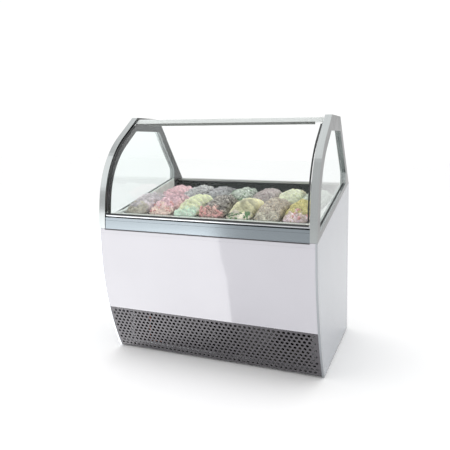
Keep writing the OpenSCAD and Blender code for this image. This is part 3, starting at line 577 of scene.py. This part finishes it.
SECTIONS = 150
ARC = 84
OVERHANG = 1.045
RIM_GAP = 0.0006
CORNER = 9
WALL_FIT, WALL_SHADE = 0.996, 0.3
BRINK, SHOULDER, UNDER = 0.002, 0.03, 0.0002
SET_BACK = 0.035
FRONT_ROW = 7
FRONT_CROWN = 0.009
REAR_CROWN = -0.008
steps = np.linspace(-1, 1, SECTIONS)
station = np.sign(steps)*(1 - (1 - np.abs(steps))**1.6)
arc = np.linspace(0, np.pi, ARC)


def heap_points(index, dish):
    """The heap's skin as sections along the pan, u from -1 at the customer's end to 1. A section
    is an arc of half width W(u) = (1 - |u|^9)^(1/9) of the pan's, and of the height of a dome
    that climbs from its toe and falls off as (1 - |u|^ends)^0.6. Folds |sin|, two kinds of lumps
    and a slow swell push it outwards."""
    low, high = deck_box(f"gelato_{index}")
    rim = deck_box(f"pan_{index}")[1][2] + RIM_GAP
    mid_x, mid_s = (low[0] + high[0])/2, (low[1] + high[1])/2
    half_w, half_l = (high[0] - low[0])/2, (high[1] - low[1])/2
    extra = FRONT_CROWN if index <= FRONT_ROW else REAR_CROWN
    crown = high[2] - rim - dish["folds"]*0.6 + extra
    u = station[:, None]
    width = half_w*np.clip(1 - np.abs(u)**CORNER, 0, 1)**(1/CORNER)
    climb = np.clip((u + 1)/dish["climb"], 0, 1)
    climb = dish["toe"] + (1 - dish["toe"])*climb*climb*(3 - 2*climb)
    dome = crown*climb*np.clip(1 - np.abs(u)**dish["ends"], 0, 1)**0.6
    x = width*OVERHANG*np.sign(np.cos(arc))*np.abs(np.cos(arc))**0.9
    up = dome*np.sin(arc)**0.72
    s = (u*(1 - SET_BACK) + SET_BACK)*half_l + 0*x
    pitch, turn = dish["pitch"], dish["turn"]
    drift = lumps(x, s, 0.055, index) + 0.5*lumps(x, s, 0.025, index + 20)
    phase = (s*math.cos(turn) + x*math.sin(turn))/pitch + 0.55*drift
    crest = 1 - np.abs(np.sin(np.pi*phase))**0.8
    grit = (0.55*lumps(x, s + up, 0.017, index + 40) + 0.3*lumps(x, s + up, 0.008, index + 60)
            + 0.15*lumps(x, s + up, 0.004, index + 80))
    swell = dish["swell"]*lumps(x, s, 0.075, index + 100)
    relief = dish["folds"]*(crest - 0.35) + dish["grit"]*grit + swell
    fade = np.sin(arc)**0.6*np.clip((1 - np.abs(u)**14)*1.2, 0, 1)
    out_x, out_s = np.cos(arc) + 0*u, 0.35*u**5 + 0*arc
    out_up = np.sin(arc) + 0.15 + 0*u
    size = np.sqrt(out_x**2 + out_s**2 + out_up**2)
    push = relief*fade/size
    top = np.stack([mid_x + x + push*out_x, mid_s + s + push*out_s,
                    rim + np.maximum(up + push*out_up, 0.0)], -1)
    # Painted shade and highlight: this value is low in the folds and high on the crests, and it
    # scales the heap's colour.
    hollow = np.clip(0.5 + relief/(2*dish["folds"] + dish["grit"] + 1e-4), 0, 1)
    return top, hollow, np.stack([out_x, out_s, out_up], -1)/size[..., None], width, low, mid_x


def heap(index, dish, material):
    """The heap closed inside the pan: from the skin, each section drops down one wall to the
    floor, runs across it and climbs the other wall."""
    top, hollow, outward, width, low, mid_x = heap_points(index, dish)
    along = top[:, ARC//2, 1:2]
    brink = top[..., 2].min() - BRINK
    shoulder = brink - SHOULDER
    under = low[2] + UNDER
    corners = [(-1, brink), (-1, shoulder), *[(side, under) for side in (-1, -0.5, 0, 0.5, 1)],
               (1, shoulder), (1, brink)]
    walls = [np.stack([mid_x + side*width*WALL_FIT, along, np.full_like(along, z)], -1)
             for side, z in corners]
    grid = np.concatenate([top, *walls], 1)
    # The walls inside the pan get a fixed painted shade.
    tone = np.concatenate([hollow, np.full((SECTIONS, len(walls)), WALL_SHADE)], 1)
    return surface(f"ice_cream_{index}", on_deck(*np.moveaxis(grid, -1, 0)), material,
                   around=(False, True), weld=True, values={"hollow": tone}), top, outward


churned, given, ends = effect("churned_ice_cream", {
    "Body": (0.8, 0.8, 0.8, 1.0), "Front": (0.8, 0.8, 0.8, 1.0), "Vein": (0.3, 0.3, 0.3, 1.0),
    "Border": 0.0, "Vein Amount": 0.5, "Fleck": (0.9, 0.9, 0.9, 1.0), "Fleck Amount": 0.3})
place = node(churned, "TexCoord").outputs["Object"]
depth_y = node(churned, "SeparateXYZ", {0: place}).outputs["Y"]
wander = maths(churned, "MULTIPLY", between(churned, noise(churned, 30.0, 3.0, place), -1, 1), 0.03)
past = maths(churned, "SUBTRACT", maths(churned, "ADD", depth_y, wander), given["Border"])
in_body = node(churned, "MapRange", {"Value": past, "From Min": -0.01, "From Max": 0.01})
base = mixed(churned, in_body.outputs["Result"], given["Front"], given["Body"])
streak = noise(churned, 62.0, 4.0, place, warp=1.6)
line = node(churned, "MapRange", {"Value": maths(churned, "ABSOLUTE", maths(churned, "SUBTRACT",
            streak, 0.5), 0.0), "From Min": 0.02, "From Max": 0.09, "To Min": 1.0, "To Max": 0.0})
veined = mixed(churned, maths(churned, "MULTIPLY", line.outputs["Result"], given["Vein Amount"]),
               base, given["Vein"])
dots = node(churned, "TexVoronoi", {"Vector": place, "Scale": 110.0}).outputs["Distance"]
dot = node(churned, "MapRange", {"Value": dots, "From Min": 0.18, "From Max": 0.30,
                                 "To Min": 1.0, "To Max": 0.0}).outputs["Result"]
flecked = mixed(churned, maths(churned, "MULTIPLY", dot, given["Fleck Amount"]), veined,
                given["Fleck"])
# Painted shade in the folds and painted highlights on the crests: the fold value scales the colour
# from 0.42 to 1.55.
hollow = node(churned, "Attribute", attribute_name="hollow").outputs["Fac"]
shaded = node(churned, "MapRange", {"Value": hollow, "To Min": 0.42, "To Max": 1.55})
crystals = noise(churned, 170.0, 4.0, place)
feed(churned, ends, Height=crystals,
     Base_Color=shade(churned, flecked, maths(churned, "MULTIPLY", shaded.outputs["Result"],
                                              between(churned, crystals, 0.8, 1.2))),
     Roughness=between(churned, noise(churned, 90.0, 2.0, place), 0.42, 0.62))

SMOOTH = dict(folds=0.003, grit=0.003, swell=0.004, pitch=0.07, turn=0.9, climb=0.9, toe=0.35,
              ends=3.0)
FOLDED = dict(folds=0.011, grit=0.006, swell=0.005, pitch=0.042, turn=0.55, climb=0.8, toe=0.45,
              ends=6.0)
ROUGH = dict(folds=0.006, grit=0.016, swell=0.005, pitch=0.035, turn=-0.4, climb=0.8, toe=0.5,
             ends=6.0)
# A dish is its form, body, front and vein colours, vein amount, and fleck colour and amount.
DISHES = [
    (ROUGH, (0.87, 0.84, 0.86), (0.79, 0.77, 0.70),
     (0.74, 0.72, 0.72), 0.5, (0.52, 0.49, 0.47), 0.4),
    (FOLDED, (0.98, 0.85, 0.88), (0.98, 0.91, 0.84),
     (0.62, 0.41, 0.45), 0.7, (0.99, 0.91, 0.91), 0.2),
    (FOLDED, (0.91, 0.94, 0.74), (0.80, 0.95, 0.86),
     (0.86, 0.85, 0.79), 0.7, (0.97, 0.97, 0.92), 0.6),
    (ROUGH, (0.75, 0.73, 0.7), (0.92, 0.77, 0.73),
     (0.27, 0.24, 0.23), 0.8, (0.18, 0.15, 0.15), 0.9),
    (SMOOTH, (0.99, 0.97, 0.80), (0.98, 0.94, 0.89),
     (0.75, 0.73, 0.56), 0.5, (0.96, 0.95, 0.84), 0.1),
    (FOLDED, (0.84, 0.8, 0.74), (0.94, 0.92, 0.85),
     (0.41, 0.35, 0.32), 0.8, (0.89, 0.86, 0.78), 0.3),
    (FOLDED, (0.91, 0.87, 0.61), (0.95, 0.86, 0.91),
     (0.61, 0.56, 0.34), 0.7, (0.97, 0.95, 0.76), 0.2),
    (FOLDED, (0.93, 0.79, 0.81), (0.94, 0.8, 0.83),
     (0.6, 0.43, 0.46), 0.6, (0.98, 0.87, 0.89), 0.3),
    (ROUGH, (0.86, 0.86, 0.86), (0.79, 0.79, 0.79),
     (0.41, 0.41, 0.41), 0.7, (0.33, 0.33, 0.33), 0.4),
    (ROUGH, (0.65, 0.65, 0.66), (0.59, 0.61, 0.59),
     (0.68, 0.68, 0.68), 0.4, (0.24, 0.24, 0.24), 0.7),
    (ROUGH, (0.9, 0.93, 0.89), (0.57, 0.65, 0.54),
     (0.32, 0.41, 0.31), 0.8, (0.95, 0.97, 0.94), 0.5),
    (FOLDED, (0.6, 0.55, 0.55), (0.58, 0.54, 0.53),
     (0.81, 0.79, 0.77), 0.5, (0.95, 0.92, 0.91), 0.4),
    (FOLDED, (0.86, 0.88, 0.72), (0.84, 0.85, 0.69),
     (0.85, 0.86, 0.83), 0.8, (0.53, 0.59, 0.38), 0.3),
    (FOLDED, (0.77, 0.8, 0.75), (0.72, 0.76, 0.71),
     (0.43, 0.47, 0.42), 0.6, (0.86, 0.88, 0.84), 0.3)]
FRONT_SHARE, REAR_SHARE = 0.18, 0.14
tops, outwards = {}, {}
for index, (form, body, front, vein, veins, fleck, flecks) in enumerate(DISHES, 1):
    low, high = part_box(f"gelato_{index}")
    border = low.y + (FRONT_SHARE if index <= FRONT_ROW else REAR_SHARE)*(high.y - low.y)
    look = finish_of(f"ice_cream_{index}", (churned, {
        "Body": paint(*body), "Front": paint(*front), "Vein": paint(*vein), "Border": border,
        "Vein Amount": veins, "Fleck": paint(*fleck), "Fleck Amount": flecks}), bump=0.0008,
        Specular_IOR_Level=0.35, Coat_Weight=0.15, Coat_Roughness=0.3)
    made, tops[index], outwards[index] = heap(index, form, look)
    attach(made, f"pan_{index}_body")
    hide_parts(f"gelato_{index}")


# ---------------------------------------------------------------------------------------------
# Toppings pressed into the heaps: mint leaves, shards of chocolate, berries and nut crumbs. Each
# is a small spindle, flattened or fattened to its kind, and bent a little if it is a leaf.
EDGE_FREE = 0.14


def scatter(name, index, count, size, reach, material, seed, bend=0.0, sink=0.2):
    """Spindles on heap index. A spindle is l*cos(t), w*sin(t)^1.2*cos(a), h*sin(t)^1.2*sin(a);
    it is turned at random about the heap's outward direction, and reach limits it along the pan
    from 0 at the customer's end to 1."""
    rng = np.random.default_rng(seed)
    top, outward = tops[index], outwards[index]
    rows = rng.integers(int(reach[0]*(SECTIONS - 1)), int(reach[1]*(SECTIONS - 1)), count)
    cols = rng.integers(int(EDGE_FREE*ARC), int((1 - EDGE_FREE)*ARC), count)
    at, up = top[rows, cols], outward[rows, cols]
    heading = rng.normal(size=(count, 3))
    heading -= (heading*up).sum(1, keepdims=True)*up
    heading /= np.linalg.norm(heading, axis=1, keepdims=True)
    up = up + rng.normal(scale=0.25, size=(count, 3))
    side = np.cross(up, heading)
    side /= np.linalg.norm(side, axis=1, keepdims=True)
    up = np.cross(heading, side)
    t = np.linspace(0, np.pi, 7)[:, None]
    a = np.linspace(0, 2*np.pi, 8, endpoint=False)
    length, breadth, height = np.asarray(size)/2
    grow = rng.uniform(0.75, 1.2, (count, 1, 1, 1))
    one_l = length*np.cos(t) + 0*a
    one_w = breadth*np.sin(t)**1.2*np.cos(a)
    one_h = height*np.sin(t)**1.2*np.sin(a) - bend*(one_l/length)**2 + height*(1 - 2*sink)
    shape = (one_l[None, ..., None]*heading[:, None, None] + one_w[None, ..., None]
             * side[:, None, None] + one_h[None, ..., None]*up[:, None, None])*grow
    points = at[:, None, None] + shape
    made = surface(name, on_deck(*np.moveaxis(points, -1, 0)), material, around=(False, True),
                   weld=True)
    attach(made, f"pan_{index}_body")
    return made


leaf = plastic("mint_leaf", paint(0.40, 0.55, 0.38), 0.4, bump=0.0003)
shard = plastic("chocolate_shard", paint(0.20, 0.15, 0.13), 0.35, bump=0.0002)
berry = plastic("berry_piece", paint(0.92, 0.70, 0.69), 0.4, bump=0.0003)
crumb = plastic("nut_crumb", paint(0.85, 0.78, 0.66), 0.6, bump=0.0003)
white_crumb = plastic("coconut_crumb", paint(0.96, 0.96, 0.93), 0.6, bump=0.0003)
LEAF, SHARD = (0.030, 0.016, 0.0016), (0.011, 0.007, 0.004)
BERRY, CRUMB = (0.017, 0.013, 0.011), (0.006, 0.0045, 0.004)
scatter("walnut_crumbs", 1, 70, CRUMB, (0.05, 0.9), crumb, 1)
scatter("berry_pieces_2", 2, 12, BERRY, (0.05, 0.4), berry, 2)
scatter("coconut_crumbs", 3, 110, CRUMB, (0.05, 0.95), white_crumb, 3)
scatter("chocolate_shards_4", 4, 85, SHARD, (0.2, 0.95), shard, 4)
scatter("berry_pieces_4", 4, 26, BERRY, (0.03, 0.24), berry, 5)
scatter("mint_leaves_5", 5, 30, LEAF, (0.02, 0.26), leaf, 6, bend=0.004)
scatter("nut_crumbs_6", 6, 80, CRUMB, (0.05, 0.95), crumb, 7)
scatter("berry_pieces_7", 7, 10, BERRY, (0.05, 0.3), berry, 8)
scatter("coconut_crumbs_9", 9, 80, CRUMB, (0.05, 0.95), white_crumb, 9)
scatter("chocolate_shards_10", 10, 60, SHARD, (0.05, 0.95), shard, 10)
scatter("mint_leaves_11", 11, 34, LEAF, (0.05, 0.9), leaf, 11, bend=0.004)
scatter("coconut_crumbs_12", 12, 60, CRUMB, (0.1, 0.9), white_crumb, 12)
scatter("pistachio_crumbs", 13, 60, CRUMB, (0.1, 0.9), crumb, 13)


# ---------------------------------------------------------------------------------------------
# Cold side: a finned aluminium evaporator on the floor of the tub and its plastic fan. Warm
# side: the condenser, its shrouded fan and the black compressor stand on the base tray. Copper
# pipes join the two.
dress(metal("fin_aluminium", paint(0.78, 0.79, 0.80), 0.35, (4.0, 4.0, 900.0)), "evaporator")
dress(plastic("fan_plastic", paint(0.16, 0.165, 0.17), 0.4), "evaporator_fan", "condenser_fan")
dress(finish_of("condenser_metal", (brushed, {"Colour": paint(0.60, 0.60, 0.60), "Polish": 0.4,
      "Grain": (4.0, 4.0, 900.0)}), (dust, {"Amount": 0.45}), Metallic=0.8), "condenser_coil")
black_coat = finish_of("black_coat", (enamel, {"Colour": paint(0.10, 0.10, 0.105),
                       "Gloss": 0.3}), (dust, {"Amount": 0.3}), bump=0.00005)
dress(black_coat, "compressor", "fan_shroud")
tarnish, given, ends = effect("tarnished_copper", {"Colour": paint(0.80, 0.47, 0.33)})
blotch = noise(tarnish, 45.0, 4.0)
feed(tarnish, ends, Height=blotch, Roughness=between(tarnish, blotch, 0.25, 0.5),
     Base_Color=mixed(tarnish, between(tarnish, blotch, 0.0, 0.8), given["Colour"],
                      paint(0.45, 0.27, 0.20)))
dress(finish_of("pipe_copper", (tarnish, {}), bump=0.00005, Metallic=1.0), "refrigerant_pipes")


# ---------------------------------------------------------------------------------------------
# Base: a folded tray, hot-dip galvanised so that its zinc spangle shows, with posts that carry
# the tub. It stands on four rubber levelling feet.
spangle, given, ends = effect("zinc_spangle", {"Colour": paint(0.70, 0.71, 0.72)})
flakes = node(spangle, "TexVoronoi", {"Vector": node(spangle, "TexCoord").outputs["Object"],
              "Scale": 75.0})
flake = node(spangle, "SeparateXYZ", {0: flakes.outputs["Color"]}).outputs["X"]
feed(spangle, ends, Height=flake, Roughness=between(spangle, flake, 0.3, 0.5),
     Base_Color=shade(spangle, given["Colour"], between(spangle, flake, 0.82, 1.08)))
dress(finish_of("galvanised", (spangle, {}), (dust, {"Amount": 0.4}), bump=0.00002,
                Metallic=0.9), "base_tray")
dress(rubber, "levelling_feet")


# ---------------------------------------------------------------------------------------------
# Controls at the back: a thermostat with a dark window and four sealed buttons, and the mains
# inlet with a rocker switch and three brass pins; no cord is fitted. Moulded plugs close the
# casing's two back corners under the frames' feet.
casing = plastic("casing_black", paint(0.15, 0.155, 0.16), 0.42)
dress(casing, "controller", "power_inlet")
dress(plastic("rocker_red", paint(0.62, 0.12, 0.10), 0.3, Coat_Weight=0.3), "power_switch")
face_low, face_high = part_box("controller")
face_x, face_z = (face_low.x + face_high.x)/2, (face_low.z + face_high.z)/2
BUTTON = [(0, 0.0012), (0.0026, 0.0011), (0.0032, 0.0007), (0.0034, 0.0), (0, 0.0)]
BUTTON_X, BUTTON_DROP = (-0.024, -0.008, 0.008, 0.024), 0.009
buttons = surface("controller_buttons", lathe(BUTTON,
                  [(face_x + dx, face_high.y, face_z - BUTTON_DROP) for dx in BUTTON_X],
                  (0, 1, 0), 20),
                  plastic("button_grey", paint(0.72, 0.74, 0.75), 0.45),
                  around=(True, False), weld=True)
WINDOW_LIFT, WINDOW_THICK = 0.0045, 0.0008
WINDOW_HALF_W, WINDOW_HALF_H = 0.026, 0.0075
window_z = face_z + WINDOW_LIFT + np.array([-1, 1, 1, -1])*WINDOW_HALF_H
window_y = face_high.y + np.array([0, 0, WINDOW_THICK, WINDOW_THICK])
display = surface("controller_window", along_x(np.stack([window_y, window_z], -1),
                  face_x - WINDOW_HALF_W, face_x + WINDOW_HALF_W),
                  plastic("window_smoke", paint(0.05, 0.05, 0.06), 0.06, Coat_Weight=0.6),
                  around=(False, True), weld=True, smooth=False)
inlet_low, inlet_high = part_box("power_inlet")
inlet_x = (inlet_low.x + inlet_high.x)/2
PIN = [(0, 0.0), (0.0016, 0.0), (0.0016, 0.0125), (0.0011, 0.0138), (0, 0.0138)]
SOCKET_Z, SOCKET_FLOOR = 0.114, inlet_high.y - 0.0199
PIN_PLACES = [(-0.0065, -0.002), (0.0065, -0.002), (0, 0.0025)]
pins = surface("inlet_pins", lathe(PIN, [(inlet_x + dx, SOCKET_FLOOR, SOCKET_Z + dz)
               for dx, dz in PIN_PLACES], (0, 1, 0), 16),
               metal("pin_brass", paint(0.86, 0.74, 0.45), 0.25), around=(True, False), weld=True)
PLUG = [(0.4755, 0.9140), (0.4815, 0.9140), (0.4815, 0.9240), (0.4755, 0.9240)]
PLUG_X = (0.5542, 0.5880)
plugs = surface("corner_plugs", [along_x(PLUG, *PLUG_X), along_x(PLUG, -PLUG_X[1], -PLUG_X[0])],
                plastic("plug_grey", paint(0.70, 0.71, 0.73), 0.4), around=(False, True),
                weld=True, smooth=False)
for made, slot in ((buttons, "controller_plastic"), (display, "controller_plastic"),
                   (pins, "inlet_plastic"), (plugs, "surround_plastic")):
    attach(made, "cabinet")
